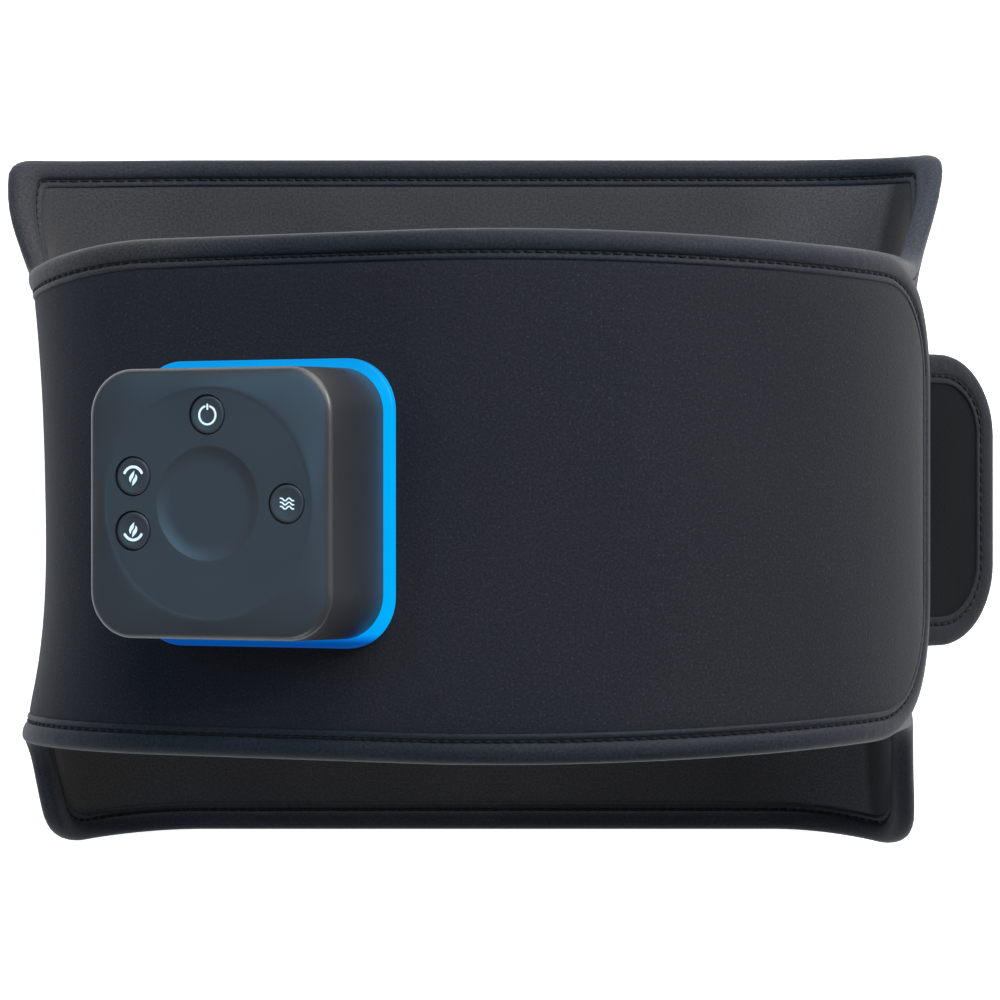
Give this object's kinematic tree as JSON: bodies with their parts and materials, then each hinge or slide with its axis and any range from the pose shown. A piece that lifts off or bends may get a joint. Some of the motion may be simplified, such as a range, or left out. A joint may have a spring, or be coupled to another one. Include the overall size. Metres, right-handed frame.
{
  "type": "heated vibrating back wrap",
  "caption": "Padded lower-back heat and vibration wrap, closed over the front, with a square control unit ringed in blue light and a pull tab.",
  "frame": {"origin": "centre of the back panel's outer face, on the table it lies on", "axes": "+X along the waist towards the pull tab, +Y up the wearer's back, +Z from the back panel out through the front flap"},
  "size_m": [0.349, 0.247, 0.1985],
  "materials": {
    "outer_fabric": "matte",
    "lining_fabric": "matte",
    "binding_tape": "matte",
    "hook_and_loop": "matte",
    "foam": "matte",
    "heater_film": "satin",
    "loom": "matte",
    "steel": "satin",
    "module_housing": "satin",
    "button_caps": "satin",
    "light_ring": "glowing",
    "board": "satin",
    "battery": "satin",
    "inner_plastic": "matte",
    "silicone": "matte"
  },
  "bodies": {
    "back_panel": {"back_outer_shell": "outer_fabric", "back_foam": "foam", "back_lining": "lining_fabric", "back_binding_upper": "binding_tape", "back_binding_lower": "binding_tape", "heating_pad_left": "heater_film", "heating_pad_right": "heater_film", "motor_can_1": "steel", "motor_can_2": "steel", "motor_can_3": "steel", "motor_can_4": "steel", "back_loom": "loom"},
    "front_flap": {"front_outer_shell": "outer_fabric", "front_foam": "foam", "front_lining": "lining_fabric", "front_binding": "binding_tape", "front_hook_patch": "hook_and_loop", "front_loom": "loom", "backing_plate": "inner_plastic", "module_base": "inner_plastic", "light_ring": "light_ring", "light_board": "board", "front_cover": "module_housing", "circuit_board": "board", "battery": "battery", "key_mat": "silicone", "power_switch": "steel", "heat_up_switch": "steel", "heat_down_switch": "steel", "vibration_switch": "steel", "fixing_screw_1": "steel", "fixing_screw_2": "steel", "fixing_screw_3": "steel", "fixing_screw_4": "steel", "cable_grommet": "silicone", "charging_socket": "steel"},
    "right_flap": {"right_outer_shell": "outer_fabric", "right_foam": "foam", "right_lining": "lining_fabric", "right_binding": "binding_tape", "right_loop_field": "hook_and_loop"},
    "pull_tab": {"pull_tab_field": "lining_fabric", "pull_tab_binding": "binding_tape"},
    "power_key": {"power_button": "button_caps"},
    "heat_up_key": {"heat_up_button": "button_caps"},
    "heat_down_key": {"heat_down_button": "button_caps"},
    "vibration_key": {"vibration_button": "button_caps"},
    "motor_rotor_1": {"motor_weight_1": "steel"},
    "motor_rotor_2": {"motor_weight_2": "steel"},
    "motor_rotor_3": {"motor_weight_3": "steel"},
    "motor_rotor_4": {"motor_weight_4": "steel"}
  },
  "joints": [
    {"name": "front_flap_swing", "type": "hinge", "parent": "back_panel", "child": "front_flap", "pos_m": [-0.1651, 0, 0.0662], "axis": [0, -1, 0], "range_deg": [0, 110]},
    {"name": "right_flap_swing", "type": "hinge", "parent": "back_panel", "child": "right_flap", "pos_m": [0.1424, 0, 0.0666], "axis": [0, 1, 0], "range_deg": [0, 55]},
    {"name": "pull_tab_bend", "type": "hinge", "parent": "front_flap", "child": "pull_tab", "pos_m": [0.14041, 0, 0.08151], "axis": [0, -1, 0], "range_deg": [0, 40]},
    {"name": "power_press", "type": "slide", "parent": "front_flap", "child": "power_key", "axis": [0.3907, 0, -0.9205], "range_m": [0, 0.0007], "stiffness_N_per_m": 400, "springref_m": -0.001},
    {"name": "heat_up_press", "type": "slide", "parent": "front_flap", "child": "heat_up_key", "axis": [0.3907, 0, -0.9205], "range_m": [0, 0.0007], "stiffness_N_per_m": 400, "springref_m": -0.001},
    {"name": "heat_down_press", "type": "slide", "parent": "front_flap", "child": "heat_down_key", "axis": [0.3907, 0, -0.9205], "range_m": [0, 0.0007], "stiffness_N_per_m": 400, "springref_m": -0.001},
    {"name": "vibration_press", "type": "slide", "parent": "front_flap", "child": "vibration_key", "axis": [0.3907, 0, -0.9205], "range_m": [0, 0.0007], "stiffness_N_per_m": 400, "springref_m": -0.001},
    {"name": "motor_1_spin", "type": "hinge", "parent": "back_panel", "child": "motor_rotor_1", "pos_m": [-0.045, 0.062, 0.0033], "axis": [0, 0, 1], "continuous": true},
    {"name": "motor_2_spin", "type": "hinge", "parent": "back_panel", "child": "motor_rotor_2", "pos_m": [0.045, 0.062, 0.0033], "axis": [0, 0, 1], "continuous": true},
    {"name": "motor_3_spin", "type": "hinge", "parent": "back_panel", "child": "motor_rotor_3", "pos_m": [-0.045, -0.062, 0.0033], "axis": [0, 0, 1], "continuous": true},
    {"name": "motor_4_spin", "type": "hinge", "parent": "back_panel", "child": "motor_rotor_4", "pos_m": [0.045, -0.062, 0.0033], "axis": [0, 0, 1], "continuous": true}
  ],
  "couplings": [
    {"joint": "right_flap_swing", "follows": "front_flap_swing", "ratio": 0.5}
  ]
}
